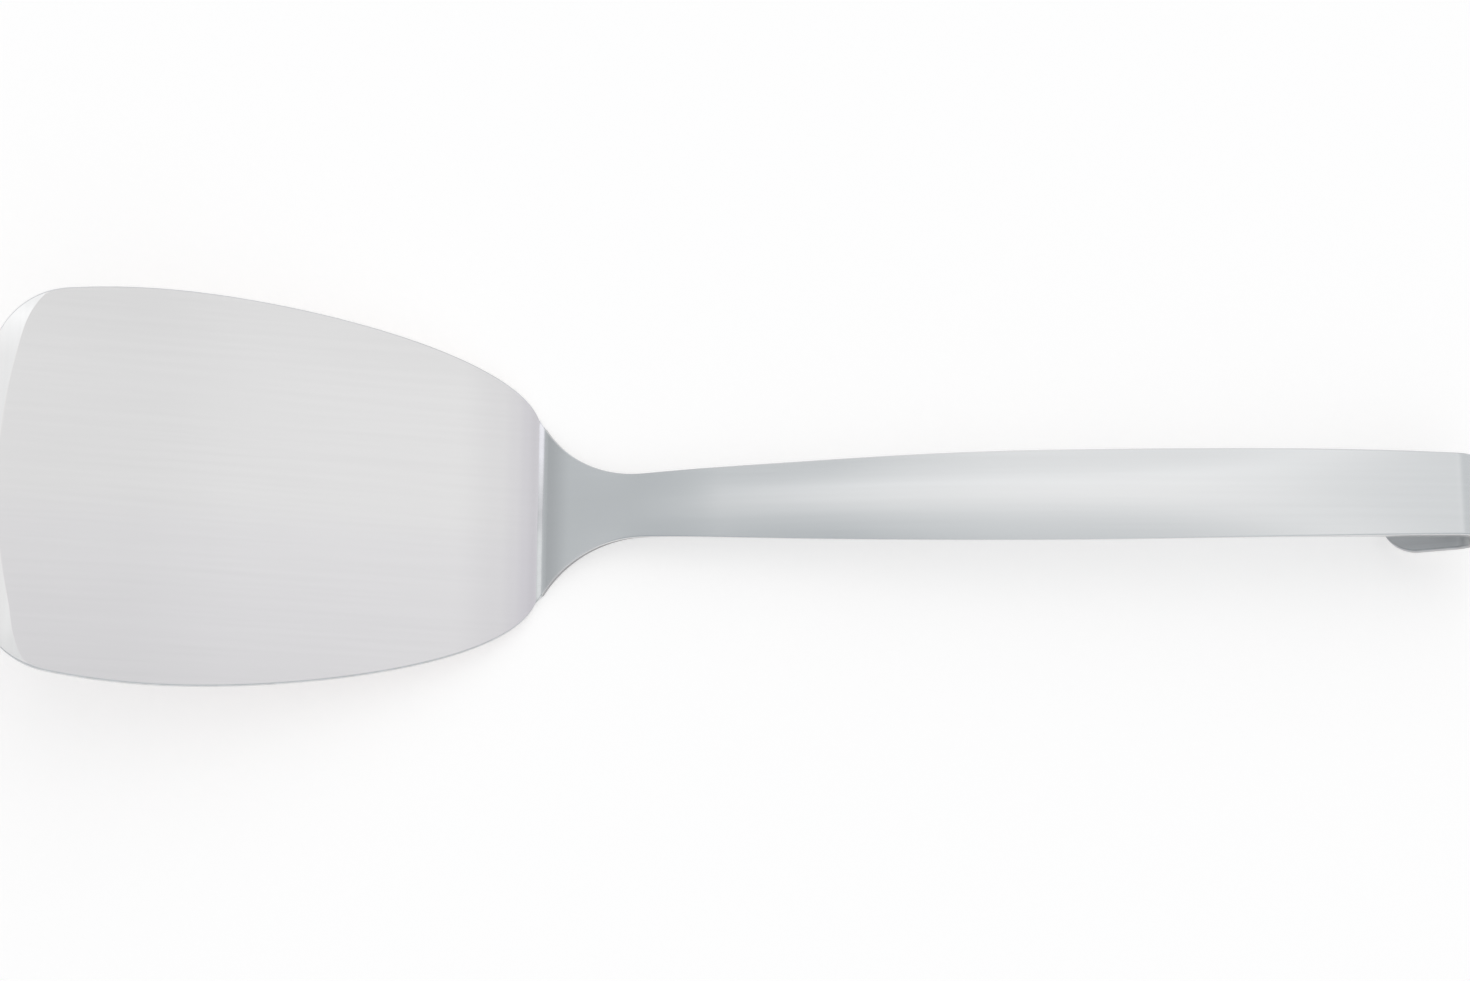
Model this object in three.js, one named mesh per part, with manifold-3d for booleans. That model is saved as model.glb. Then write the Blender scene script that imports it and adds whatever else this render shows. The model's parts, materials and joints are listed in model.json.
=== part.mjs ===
// Stiff spatula: a turner of stainless steel with a flat ground blade, an arched strap handle that
// ends in a hang hook, and the ground weld that joins the two at an angle.
// Millimetres and degrees, +Z up, +X towards the hook. It lies as it does on a table: on the heel
// under the weld and on the free end of the hook, with the front of the blade raised.

import * as THREE from 'three';
import { mergeVertices } from 'three/addons/utils/BufferGeometryUtils.js';
import Module from 'manifold-3d';

const wasm = await Module();
wasm.setup();

// Driving dimensions: blade
const BLADE_LENGTH = 121.3; // from the weld to the middle of the front edge
const BLADE_WIDTH = 87;
const BLADE_THICKNESS = 1.5;
const WIDEST_FROM_FRONT = 40; // how far the widest place lies behind the front edge
const SHOULDER_ANGLE = 68.6; // plan angle of the side as it leaves the weld
const SHOULDER_REACH = 15.6; // how far the side keeps that direction
const SIDE_REACH = 28.8; // how far the side runs level before the widest place
const SIDE_RADIUS = 150; // the side's curve from the widest place to the corner
const CORNER_RADIUS = 17.7;
const FRONT_RADIUS = 125;
const GRIND_WIDTH = 5.5; // ground bevel along the front edge
const GRIND_TURN = 55; // how far it runs round the corner while it narrows to nothing
const EDGE_THICKNESS = 0.5; // steel left at the front edge

// Driving dimensions: weld
const BEND_ANGLE = 32.3; // between the blade and the neck
const BEND_INNER_RADIUS = 2.2;

// Driving dimensions: handle
const STRAP_THICKNESS = 2;
const JOIN_ANGLE = 56.6; // plan angle of the outline where it crosses the weld
const FLARE_RADIUS = 25.8;
const NECK_WIDTH = 14.5;
const NECK_LENGTH = 21; // straight run before the knee
const KNEE_RADIUS = 150;
const KNEE_ANGLE = 7.3;
const GRIP_LENGTH = 158;
const GRIP_ANGLE = 12.7; // how far the grip's long arch turns
const GRIP_WIDTH = 20.4;
const GRIP_WIDEST_AT = 118; // distance of the widest place from the weld
const WAIST_EASE = 0.02; // share of the swell in which the waist turns into it
const CROWN = 2.5; // height of the arch across the grip
const CROWN_RISE = 65; // length in which the arch grows from the flat weld
const CROWN_FADE = 85; // length in which it flattens again before the hook
const HOOK_WIDTH = 18.2;
const HOOK_INNER_RADIUS = 5.3;
const HOOK_ANGLE = 155.5;
const TONGUE_LENGTH = 15.8;
const TONGUE_CORNER = 8.3;

// Finish: sRGB colour and roughness of each piece
const BLADE_FINISH = { color: 0xd8dadb, roughness: 0.34 };
const WELD_FINISH = { color: 0xe4e6e8, roughness: 0.22 };
const HANDLE_FINISH = { color: 0xd2d5d7, roughness: 0.36 };

// Mesh fineness
const CURVE_SEGMENTS = 14;
const GRIND_FRONT_STEPS = 28;
const GRIND_CORNER_STEPS = 14;
const GRIND_RUN_OUT = 1.1; // share of its turn at which the bevel's wedge ends, clear of the outline
const WELD_STEPS = 8;
const NECK_STEPS = 14;
const KNEE_STEPS = 8;
const GRIP_STEPS = 36;
const HOOK_STEPS = 18;
const TONGUE_STEPS = 4;
const CORNER_STEPS = 8;
const STEPS_ACROSS = 10;

const radians = THREE.MathUtils.degToRad;
const { lerp, smoothstep } = THREE.MathUtils;

// The axis of the bend is the local origin of all three pieces
const heelRadius = BEND_INNER_RADIUS + BLADE_THICKNESS;
const bendAngle = radians(BEND_ANGLE);
const joinAngle = radians(JOIN_ANGLE);
const shoulderAngle = radians(SHOULDER_ANGLE);
const grindTurn = radians(GRIND_TURN);
const kneeAngle = radians(KNEE_ANGLE);
const hookAngle = radians(HOOK_ANGLE);
const widestAt = BLADE_LENGTH - WIDEST_FROM_FRONT;

// The outline crosses the weld in one straight line, tangent to the flare
const flareLength = FLARE_RADIUS * Math.sin(joinAngle);
const footHalf = NECK_WIDTH / 2 + FLARE_RADIUS * (1 - Math.cos(joinAngle));
const weldRun = BEND_INNER_RADIUS * bendAngle;
const rootHalf = footHalf + weldRun * Math.tan(joinAngle);

// Runs of the strap's top line from the weld to the free end of the hook
const hookOuterRadius = HOOK_INNER_RADIUS + STRAP_THICKNESS;
const tongueCorner = Math.min(TONGUE_CORNER, (HOOK_WIDTH - STRAP_THICKNESS) / 2);
const evenly = (share) => share;
const towardsEnd = (share) => Math.sin(share * Math.PI / 2);
const strapRuns = [
  { length: NECK_LENGTH, turn: 0, steps: NECK_STEPS, spacing: evenly },
  { length: KNEE_RADIUS * kneeAngle, turn: kneeAngle, steps: KNEE_STEPS, spacing: evenly },
  { length: GRIP_LENGTH, turn: radians(GRIP_ANGLE), steps: GRIP_STEPS, spacing: evenly },
  { length: hookOuterRadius * hookAngle, turn: hookAngle, steps: HOOK_STEPS, spacing: evenly },
  { length: TONGUE_LENGTH - tongueCorner, turn: 0, steps: TONGUE_STEPS, spacing: evenly },
  { length: tongueCorner, turn: 0, steps: CORNER_STEPS, spacing: towardsEnd },
];
const hookStart = NECK_LENGTH + KNEE_RADIUS * kneeAngle + GRIP_LENGTH;
const strapEnd = strapRuns.reduce((sum, run) => sum + run.length, 0);

function steel(finish) {
  return new THREE.MeshStandardMaterial({ ...finish, metalness: 1 });
}

// A closed geometry as a solid that can be cut
function solidOf(geometry) {
  const bare = geometry.clone();
  bare.deleteAttribute('normal');
  bare.deleteAttribute('uv');
  const merged = mergeVertices(bare);
  return new wasm.Manifold(new wasm.Mesh({
    numProp: 3,
    vertProperties: new Float32Array(merged.attributes.position.array),
    triVerts: new Uint32Array(merged.index.array),
  }));
}

function geometryOf(solid) {
  const { vertProperties, triVerts } = solid.getMesh();
  const geometry = new THREE.BufferGeometry();
  geometry.setAttribute('position', new THREE.BufferAttribute(vertProperties, 3));
  geometry.setIndex(new THREE.BufferAttribute(triVerts, 1));
  return geometry;
}

// A closed body through equal rings, each a row of top points followed by the bottom row backwards
function loft(rings) {
  const size = rings[0].length;
  const triangles = [];
  const quad = (a, b, c, d) => triangles.push(a, b, c, a, c, d);
  for (let i = 0; i + 1 < rings.length; i += 1) {
    for (let j = 0; j < size; j += 1) {
      const next = (j + 1) % size;
      quad(i * size + j, i * size + next, (i + 1) * size + next, (i + 1) * size + j);
    }
  }
  const last = (rings.length - 1) * size;
  for (let j = 0; j + 1 < size / 2; j += 1) {
    const under = size - 1 - j;
    quad(j, under, under - 1, j + 1);
    quad(last + j, last + j + 1, last + under - 1, last + under);
  }
  const geometry = new THREE.BufferGeometry().setFromPoints(rings.flat());
  geometry.setIndex(triangles);
  return geometry;
}

// Arcs round the blade's front, where the corner's centre lies its own radius inside both the front
// arc and the side arc
function findFrontArcs() {
  const front = new THREE.Vector2(FRONT_RADIUS - BLADE_LENGTH, 0);
  const side = new THREE.Vector2(-widestAt, BLADE_WIDTH / 2 - SIDE_RADIUS);
  const toFront = FRONT_RADIUS - CORNER_RADIUS;
  const toSide = SIDE_RADIUS - CORNER_RADIUS;
  const between = side.clone().sub(front);
  const apart = between.length();
  const onLine = (toFront ** 2 - toSide ** 2 + apart ** 2) / (2 * apart);
  const offLine = Math.sqrt(toFront ** 2 - onLine ** 2);
  const direction = between.clone().normalize();
  const corner = front.clone()
    .addScaledVector(direction, onLine)
    .addScaledVector(new THREE.Vector2(direction.y, -direction.x), offLine);
  const sideTurn = corner.clone().sub(side).angle();
  const frontTurn = corner.clone().sub(front).angle();
  return { front, side, corner, sideTurn, frontTurn };
}

const frontArcs = findFrontArcs();

// Flat outline of the blade: eased shoulders, long side curves, round corners and a bowed front
function bladeOutline() {
  const { front, side, corner, sideTurn, frontTurn } = frontArcs;
  const half = BLADE_WIDTH / 2;
  const shoulder = new THREE.Vector2(-Math.cos(shoulderAngle), Math.sin(shoulderAngle));
  shoulder.multiplyScalar(SHOULDER_REACH);
  const level = SIDE_REACH - widestAt;
  const outline = new THREE.Shape();
  outline.moveTo(0, rootHalf);
  outline.bezierCurveTo(shoulder.x, rootHalf + shoulder.y, level, half, -widestAt, half);
  outline.absarc(side.x, side.y, SIDE_RADIUS, Math.PI / 2, sideTurn, false);
  outline.absarc(corner.x, corner.y, CORNER_RADIUS, sideTurn, frontTurn, false);
  outline.absarc(front.x, front.y, FRONT_RADIUS, frontTurn, -frontTurn, false);
  outline.absarc(corner.x, -corner.y, CORNER_RADIUS, -frontTurn, -sideTurn, false);
  outline.absarc(side.x, -side.y, SIDE_RADIUS, -sideTurn, -Math.PI / 2, false);
  outline.bezierCurveTo(level, -half, shoulder.x, -rootHalf - shoulder.y, 0, -rootHalf);
  outline.closePath();
  return outline;
}

// Section of the wedge that takes the bevel off, square to the outline at a turn of one of its arcs.
// It starts the bevel's width inside the outline and clears the edge.
function grindingRing(centre, radius, turn, width) {
  const top = -BEND_INNER_RADIUS;
  const fall = (BLADE_THICKNESS - EDGE_THICKNESS) / GRIND_WIDTH;
  const clear = GRIND_WIDTH;
  const at = (inset, z) => new THREE.Vector3(
    centre.x + (radius - inset) * Math.cos(turn),
    centre.y + (radius - inset) * Math.sin(turn),
    z,
  );
  return [
    at(width, top + clear),
    at(-clear, top + clear),
    at(-clear, top - fall * (width + clear)),
    at(width, top),
  ];
}

// The wedge runs along the front and round both corners, where its width falls as a cosine and
// leaves the outline just past the end of the bevel
function grindingWedge() {
  const { front, corner, frontTurn } = frontArcs;
  const mirrored = new THREE.Vector2(corner.x, -corner.y);
  const backTurn = 2 * Math.PI - frontTurn;
  const far = [];
  const near = [];
  for (let step = 0; step <= GRIND_CORNER_STEPS; step += 1) {
    const share = GRIND_RUN_OUT * step / GRIND_CORNER_STEPS;
    const width = GRIND_WIDTH * Math.cos(share * Math.PI / 2);
    far.unshift(grindingRing(corner, CORNER_RADIUS, frontTurn - share * grindTurn, width));
    near.push(grindingRing(mirrored, CORNER_RADIUS, backTurn + share * grindTurn, width));
  }
  const along = [];
  for (let step = 1; step < GRIND_FRONT_STEPS; step += 1) {
    const turn = lerp(frontTurn, backTurn, step / GRIND_FRONT_STEPS);
    along.push(grindingRing(front, FRONT_RADIUS, turn, GRIND_WIDTH));
  }
  return loft([...far, ...along, ...near]);
}

function makeBlade() {
  const sheet = new THREE.ExtrudeGeometry(bladeOutline(), {
    depth: BLADE_THICKNESS,
    bevelEnabled: false,
    curveSegments: CURVE_SEGMENTS,
  });
  sheet.translate(0, 0, -heelRadius);
  const ground = solidOf(sheet).subtract(solidOf(grindingWedge()));
  const blade = new THREE.Mesh(geometryOf(ground), steel(BLADE_FINISH));
  blade.name = 'blade';
  return blade;
}

// Sector of the bend between blade and neck, flush with both
function makeWeldBead() {
  const rings = [];
  for (let step = 0; step <= WELD_STEPS; step += 1) {
    const share = step / WELD_STEPS;
    const angle = share * bendAngle;
    const half = lerp(rootHalf, footHalf, share);
    const at = (radius, y) => new THREE.Vector3(radius * Math.sin(angle), y, -radius * Math.cos(angle));
    rings.push([
      at(BEND_INNER_RADIUS, half),
      at(BEND_INNER_RADIUS, -half),
      at(heelRadius, -half),
      at(heelRadius, half),
    ]);
  }
  const bead = new THREE.Mesh(loft(rings), steel(WELD_FINISH));
  bead.name = 'weld_bead';
  return bead;
}

// Half the strap's width: an arc from the weld to the waist, a swell, a taper, a rounded end
function strapHalfWidth(distance) {
  const neckHalf = NECK_WIDTH / 2;
  const gripHalf = GRIP_WIDTH / 2;
  if (distance < flareLength) {
    const before = flareLength - distance;
    return neckHalf + FLARE_RADIUS - Math.sqrt(FLARE_RADIUS ** 2 - before ** 2);
  }
  if (distance < GRIP_WIDEST_AT) {
    const share = (distance - flareLength) / (GRIP_WIDEST_AT - flareLength);
    const eased = share ** 2 * (1 + WAIST_EASE) / (share + WAIST_EASE);
    return lerp(neckHalf, gripHalf, Math.sin(eased * Math.PI / 2));
  }
  const share = Math.min((distance - GRIP_WIDEST_AT) / (hookStart - GRIP_WIDEST_AT), 1);
  const tapered = lerp(gripHalf, HOOK_WIDTH / 2, share ** 2);
  const intoCorner = Math.max(distance - (strapEnd - tongueCorner), 0);
  return tapered - tongueCorner + Math.sqrt(Math.max(tongueCorner ** 2 - intoCorner ** 2, 0));
}

function strapCrown(distance) {
  const grown = smoothstep(distance, 0, CROWN_RISE);
  const faded = smoothstep(distance, hookStart - CROWN_FADE, hookStart);
  return CROWN * grown * (1 - faded);
}

function strapThickness(distance) {
  return lerp(BLADE_THICKNESS, STRAP_THICKNESS, smoothstep(distance, 0, flareLength));
}

// Arched section of the strap, square to its top line: the wall follows a parabola of the crown's height
function strapRing(place, heading, distance) {
  const half = strapHalfWidth(distance);
  const crown = strapCrown(distance);
  const wall = strapThickness(distance);
  const at = (y, rise) => new THREE.Vector3(
    place.x - rise * Math.sin(heading),
    y,
    place.y + rise * Math.cos(heading),
  );
  const top = [];
  const bottom = [];
  for (let step = 0; step <= STEPS_ACROSS; step += 1) {
    const share = 1 - 2 * step / STEPS_ACROSS;
    const y = share * half;
    const rise = -crown * share ** 2;
    const lean = Math.atan(2 * crown * share / half);
    top.push(at(y, rise));
    bottom.unshift(at(y - wall * Math.sin(lean), rise - wall * Math.cos(lean)));
  }
  return [...top, ...bottom];
}

function strapRings() {
  const place = new THREE.Vector2(Math.sin(bendAngle), -Math.cos(bendAngle));
  place.multiplyScalar(BEND_INNER_RADIUS);
  let heading = bendAngle;
  let distance = 0;
  const rings = [strapRing(place, heading, distance)];
  for (const run of strapRuns) {
    const start = place.clone();
    for (let step = 1; step <= run.steps; step += 1) {
      const share = run.spacing(step / run.steps);
      // A chord of the arc runs half way between the headings at its two ends
      const half = share * run.turn / 2;
      const chord = share * run.length * (half ? Math.sin(half) / half : 1);
      place.set(Math.cos(heading - half), Math.sin(heading - half)).multiplyScalar(chord).add(start);
      rings.push(strapRing(place, heading - 2 * half, distance + share * run.length));
    }
    heading -= run.turn;
    distance += run.length;
  }
  return rings;
}

const handleRings = strapRings();

function makeHandle() {
  const handle = new THREE.Mesh(loft(handleRings), steel(HANDLE_FINISH));
  handle.name = 'handle';
  return handle;
}

// Lowering the handle about the bend's axis, the tilt at which a point of it meets the table
function touchingTilt(point) {
  const reach = Math.hypot(point.x, point.z);
  return Math.atan2(point.z, point.x) + Math.asin(Math.min(heelRadius / reach, 1));
}

const lying = new THREE.Group();
lying.add(makeBlade(), makeWeldBead(), makeHandle());
lying.rotation.y = Math.min(...handleRings.flat().map(touchingTilt));
lying.position.z = heelRadius;
lying.updateMatrixWorld(true);
const box = new THREE.Box3().setFromObject(lying, true);
lying.position.x = -(box.min.x + box.max.x) / 2;

const spatula = new THREE.Group();
spatula.add(lying);

export default spatula;
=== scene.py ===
"""Stiff spatula of stainless steel: a brushed blade with a ground front edge, the ground weld at its
heel, and an arched strap handle that ends in a hang hook, lying on a pale table."""

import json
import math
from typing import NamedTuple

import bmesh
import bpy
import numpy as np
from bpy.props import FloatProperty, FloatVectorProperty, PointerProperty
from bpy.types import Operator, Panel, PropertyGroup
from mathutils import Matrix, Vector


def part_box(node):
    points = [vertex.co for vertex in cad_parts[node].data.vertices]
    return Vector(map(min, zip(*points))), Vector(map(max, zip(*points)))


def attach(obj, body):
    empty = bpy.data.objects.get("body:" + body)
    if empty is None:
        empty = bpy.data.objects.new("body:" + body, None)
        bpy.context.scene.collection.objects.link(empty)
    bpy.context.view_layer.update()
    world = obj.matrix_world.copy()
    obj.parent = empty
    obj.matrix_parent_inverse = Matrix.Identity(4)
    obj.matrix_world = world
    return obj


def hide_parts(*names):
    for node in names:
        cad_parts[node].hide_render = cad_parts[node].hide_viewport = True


bl_info = {
    "name": "Stiff Spatula",
    "version": (1, 0, 0),
    "blender": (4, 5, 0),
    "location": "View3D > Sidebar > Spatula",
    "description": "Builds the brushed steel spatula on its packed frame, with its table and camera",
    "category": "Object",
}

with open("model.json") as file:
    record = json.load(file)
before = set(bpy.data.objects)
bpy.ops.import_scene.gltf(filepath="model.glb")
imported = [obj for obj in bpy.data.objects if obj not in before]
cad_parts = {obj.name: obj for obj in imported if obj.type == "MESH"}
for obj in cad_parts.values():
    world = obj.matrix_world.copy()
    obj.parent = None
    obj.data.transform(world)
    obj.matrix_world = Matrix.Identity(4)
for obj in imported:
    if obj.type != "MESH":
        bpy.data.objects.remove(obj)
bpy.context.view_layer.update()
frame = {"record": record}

# Values that the frame gives: the blade's tilt on the table, its sheet and its box
MOUNTS = {mount["name"]: mount for mount in frame["record"]["mounts"]}
BLADE_NORMAL = np.array(MOUNTS["blade_top"]["axis"])
BLADE_TOP = np.array(MOUNTS["blade_top"]["pos_m"])
BLADE_UNDERSIDE = np.array(MOUNTS["blade_underside"]["pos_m"])
TILT = math.atan2(BLADE_NORMAL[0], BLADE_NORMAL[2])
SHEET = round(float(BLADE_NORMAL @ (BLADE_TOP - BLADE_UNDERSIDE)), 5)
BLADE_LOW, BLADE_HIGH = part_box("blade")
WELD_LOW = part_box("weld_bead")[0]

# The bend's axis is the origin of the shapes before they are laid on the table
BEND_INNER_RADIUS = 0.0022
HEEL_RADIUS = BEND_INNER_RADIUS + SHEET
AXIS_X = WELD_LOW.x + HEEL_RADIUS * math.sin(TILT)
BLADE_REACH = (AXIS_X - BLADE_LOW.x - HEEL_RADIUS * math.sin(TILT)) / math.cos(TILT)

# The photograph's width in pixels, its focal length in the same pixels, the film's width in millimetres,
# and how near to the camera things start to show, in metres
IMAGE_WIDTH = 1470
FOCAL_PIXELS = 3181.5
FILM_WIDTH = 36.0
CLIP_START = 0.01

BRUSH_MAP = "brush"


# Settings

def size(name, description, metres):
    return FloatProperty(
        name=name, description=description, default=metres, min=0.0, precision=5,
        subtype="DISTANCE", unit="LENGTH",
    )


def angle(name, description, degrees):
    return FloatProperty(
        name=name, description=description, default=math.radians(degrees),
        subtype="ANGLE", unit="ROTATION",
    )


def share(name, description, value):
    return FloatProperty(
        name=name, description=description, default=value, min=0.0, soft_max=1.0, subtype="FACTOR",
    )


def brightness(name, description, value):
    return FloatProperty(name=name, description=description, default=value, min=0.0)


def colour(name, description, value):
    return FloatVectorProperty(
        name=name, description=description, default=value, size=3, min=0.0, max=1.0, subtype="COLOR",
    )


class BladeSizes(PropertyGroup):
    """Sizes of the blade"""
    length: size("Length", "From the weld to the middle of the front edge", BLADE_REACH)
    width: size("Width", "Across the widest place", BLADE_HIGH.y - BLADE_LOW.y)
    thickness: size("Thickness", "Thickness of the sheet", SHEET)
    widest_from_front: size("Widest From Front", "How far the widest place lies behind the front", 0.04)
    shoulder_angle: angle("Shoulder Angle", "Plan angle of the side as it leaves the weld", 68.6)
    shoulder_reach: size("Shoulder Reach", "How far the side keeps that direction", 0.0156)
    side_reach: size("Side Reach", "How far the side runs level before the widest place", 0.0288)
    side_radius: size("Side Radius", "Curve of the side from the widest place to the corner", 0.15)
    corner_radius: size("Corner Radius", "Round of the two front corners", 0.0177)
    front_radius: size("Front Radius", "Bow of the front edge", 0.125)
    grind_width: size("Grind Width", "Ground bevel along the front edge", 0.0055)
    grind_turn: angle("Grind Turn", "How far the bevel runs round a corner while it narrows", 55.0)
    grind_skew: share("Grind Skew", "How far the bevel narrows to the left and widens to the right", 0.175)
    edge_thickness: size("Edge Thickness", "Steel left at the front edge", 0.0005)
    edge_round: size("Edge Round", "Round that is rubbed onto the cut edge", 0.00028)


class WeldSizes(PropertyGroup):
    """Sizes of the weld between blade and handle"""
    bend_angle: angle("Bend Angle", "Angle between the blade and the neck", 32.3)
    inner_radius: size("Inner Radius", "Hollow of the weld on the upper side", BEND_INNER_RADIUS)


class HandleSizes(PropertyGroup):
    """Sizes of the handle"""
    thickness: size("Thickness", "Thickness of the strap", 0.002)
    join_angle: angle("Join Angle", "Plan angle of the outline where it crosses the weld", 56.6)
    flare_radius: size("Flare Radius", "Hollow of the outline between weld and waist", 0.0258)
    neck_width: size("Neck Width", "Width at the waist", 0.0145)
    neck_length: size("Neck Length", "Straight run before the knee", 0.021)
    knee_radius: size("Knee Radius", "Bend from the neck into the grip", 0.15)
    knee_angle: angle("Knee Angle", "How far the knee turns", 7.3)
    grip_length: size("Grip Length", "Length of the arched grip", 0.158)
    grip_angle: angle("Grip Angle", "How far the grip's long arch turns", 12.7)
    grip_width: size("Grip Width", "Width at the widest place", 0.0204)
    widest_at: size("Widest At", "Distance of the widest place from the weld", 0.118)
    waist_ease: share("Waist Ease", "Share of the swell in which the waist turns into it", 0.02)
    crown: size("Crown", "Height of the arch across the grip", 0.0025)
    crown_rise: size("Crown Rise", "Length in which the arch grows from the flat weld", 0.065)
    crown_fade: size("Crown Fade", "Length in which it flattens before the hook", 0.085)
    hook_width: size("Hook Width", "Width of the hook", 0.0182)
    hook_inner_radius: size("Hook Inner Radius", "Hollow of the hook", 0.0053)
    hook_angle: angle("Hook Angle", "How far the hook turns", 155.5)
    tongue_length: size("Tongue Length", "Straight end of the hook", 0.0158)
    tongue_corner: size("Tongue Corner", "Round of the end's corners", 0.0083)
    edge_round: size("Edge Round", "Round that is rubbed onto the cut edge", 0.0004)


class SteelColours(PropertyGroup):
    """Colours of the steel's finishes"""
    # The blade's colour is a shade brighter, and its tones darken it towards the weld, front and sides, so
    # its middle shows as painted light
    blade: colour("Blade", "Brushed faces of the blade", (0.863, 0.842, 0.833))
    handle: colour("Handle", "Brushed upper face of the handle", (0.76, 0.762, 0.764))
    # The underside's darker colour is partly a duller finish and partly painted shade under the arched
    # handle and hook
    underside: colour("Underside", "Duller lower face of the handle", (0.62, 0.63, 0.64))
    ground: colour("Ground Edge", "Ground bevel of the front edge", (0.845, 0.843, 0.843))
    weld: colour("Weld", "Polished weld", (0.82, 0.82, 0.828))
    cut: colour("Cut Edge", "Narrow cut edges of sheet and strap", (0.72, 0.725, 0.73))


class StageSettings(PropertyGroup):
    """Table, light and camera"""
    table: colour("Table", "Colour of the table", (0.845, 0.817, 0.8))
    table_glow: share("Table Glow", "How much the table is lifted towards white", 0.405)
    light: brightness("Light", "Brightness of the dome overhead", 1.104)
    lamp: brightness("Lamp", "Brightness of the strip lamp over the dome", 0.144)
    elevation: angle("Elevation", "Height of the camera above the horizon", 75.0)
    turn: angle("Turn", "Turn of the camera about the upright", 0.2168)
    distance: size("Distance", "From the camera to its target", 0.7)
    target: FloatVectorProperty(
        name="Target", description="Point on the table that the camera looks at", size=2,
        default=(-0.00035, 0.00525), precision=5, subtype="XYZ", unit="LENGTH",
    )


class SpatulaSettings(PropertyGroup):
    """All settings of the spatula"""
    blade: PointerProperty(type=BladeSizes)
    weld: PointerProperty(type=WeldSizes)
    handle: PointerProperty(type=HandleSizes)
    colours: PointerProperty(type=SteelColours)
    stage: PointerProperty(type=StageSettings)


# Curves and grids

def between(start, end, part):
    """Straight blend from start to end."""
    return start + (end - start) * part


def even_parts(steps):
    """Shares from 0 to 1 in even steps."""
    return np.linspace(0.0, 1.0, steps + 1)


def smoothstep(value, low, high):
    """Rises from 0 at low to 1 at high as 3x^2 - 2x^3."""
    part = np.clip((value - low) / (high - low), 0.0, 1.0)
    return part * part * (3.0 - 2.0 * part)


def arc(centre, radius, turns):
    """Points of a circle at the given turns, with the outward normals."""
    normals = np.stack([np.cos(turns), np.sin(turns)], axis=1)
    return np.asarray(centre) + radius * normals, normals


def bezier(corners, parts):
    """Cubic curve: its four corners weighted by the Bernstein polynomials. The normal is the direction
    of travel turned a quarter to the right."""
    a, b, c, d = np.asarray(corners)[:, None, :]
    t = parts[:, None]
    s = 1.0 - t
    points = s**3 * a + 3 * s**2 * t * b + 3 * s * t**2 * c + t**3 * d
    along = s**2 * (b - a) + 2 * s * t * (c - b) + t**2 * (d - c)
    along /= np.linalg.norm(along, axis=1, keepdims=True)
    return points, np.stack([along[:, 1], -along[:, 0]], axis=1)


def joined_runs(*runs):
    """Points and normals of runs that follow one another, each without the point it shares."""
    return [np.concatenate([parts[0], *[part[1:] for part in parts[1:]]]) for parts in zip(*runs)]


def travelled(points):
    """Share of a polyline's length at each of its points."""
    steps = np.linalg.norm(np.diff(points, axis=0), axis=1)
    run = np.concatenate([[0.0], np.cumsum(steps)])
    return run / run[-1]


def patch(near, far, left, right):
    """Flat patch between four edges: the blend of near and far, plus the blend of left and right,
    less the blend of the four corners."""
    u = travelled(left)[:, None, None]
    v = travelled(far)[None, :, None]
    along = between(near[None], far[None], u)
    across = between(left[:, None], right[:, None], v)
    corners = between(between(near[0], near[-1], v), between(far[0], far[-1], v), u)
    return along + across - corners


def laid(points):
    """Turns points about the bend's axis by the tilt and lifts them so that the heel meets the table."""
    x, y, z = np.moveaxis(points, -1, 0)
    return np.stack([
        x * math.cos(TILT) + z * math.sin(TILT) + AXIS_X,
        y,
        z * math.cos(TILT) - x * math.sin(TILT) + HEEL_RADIUS,
    ], axis=-1)


MERGE_DISTANCE = 1e-6
SHARP_ANGLE = math.radians(35.0)


class Shell:
    """Grids of points, and flat caps, gathered into one closed mesh. Marks are the points' places on the
    brushing map, in metres."""

    def __init__(self):
        self.points = []
        self.maps = []
        self.faces = []
        self.finishes = []
        self.count = 0

    def add_points(self, points, marks):
        """Keeps the points and tells the number of the first."""
        first = self.count
        self.points.append(points.reshape(-1, 3))
        self.maps.append(marks.reshape(-1, 2))
        self.count += len(self.points[-1])
        return first

    def grid(self, points, marks, finish, closed=False):
        """Quads between neighbouring rows and columns; finish is a number or one for each face."""
        rows, columns = points.shape[:2]
        first = self.add_points(points, marks)
        index = first + np.arange(rows * columns).reshape(rows, columns)
        if closed:
            index = np.concatenate([index, index[:, :1]], axis=1)
        corners = [index[:-1, :-1], index[1:, :-1], index[1:, 1:], index[:-1, 1:]]
        quads = np.stack(corners, axis=-1)
        self.finishes.append(np.broadcast_to(finish, quads.shape[:2]).reshape(-1))
        self.faces.extend(quads.reshape(-1, 4).tolist())

    def cap(self, points, marks, finish):
        """One flat face round a ring of points."""
        first = self.add_points(points, marks)
        self.faces.append(list(range(first, first + len(points))))
        self.finishes.append(np.array([finish]))

    def piece(self, name, materials):
        """The mesh as an object: doubles merged, faces outward, smooth but for its sharp corners."""
        mesh = bpy.data.meshes.new(name)
        mesh.from_pydata(laid(np.concatenate(self.points)), [], self.faces)
        corners = np.zeros(len(mesh.loops), dtype=np.int32)
        mesh.loops.foreach_get("vertex_index", corners)
        layer = mesh.uv_layers.new(name=BRUSH_MAP)
        layer.data.foreach_set("uv", np.concatenate(self.maps)[corners].ravel())
        mesh.polygons.foreach_set("material_index", np.concatenate(self.finishes).astype(np.int32))
        for material in materials:
            mesh.materials.append(material)

        joined = bmesh.new()
        joined.from_mesh(mesh)
        bmesh.ops.remove_doubles(joined, verts=joined.verts, dist=MERGE_DISTANCE)
        bmesh.ops.recalc_face_normals(joined, faces=joined.faces)
        joined.to_mesh(mesh)
        joined.free()
        mesh.shade_smooth()
        mesh.set_sharp_from_angle(angle=SHARP_ANGLE)

        obj = bpy.data.objects.new(name, mesh)
        bpy.context.scene.collection.objects.link(obj)
        return obj


# Blade

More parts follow.
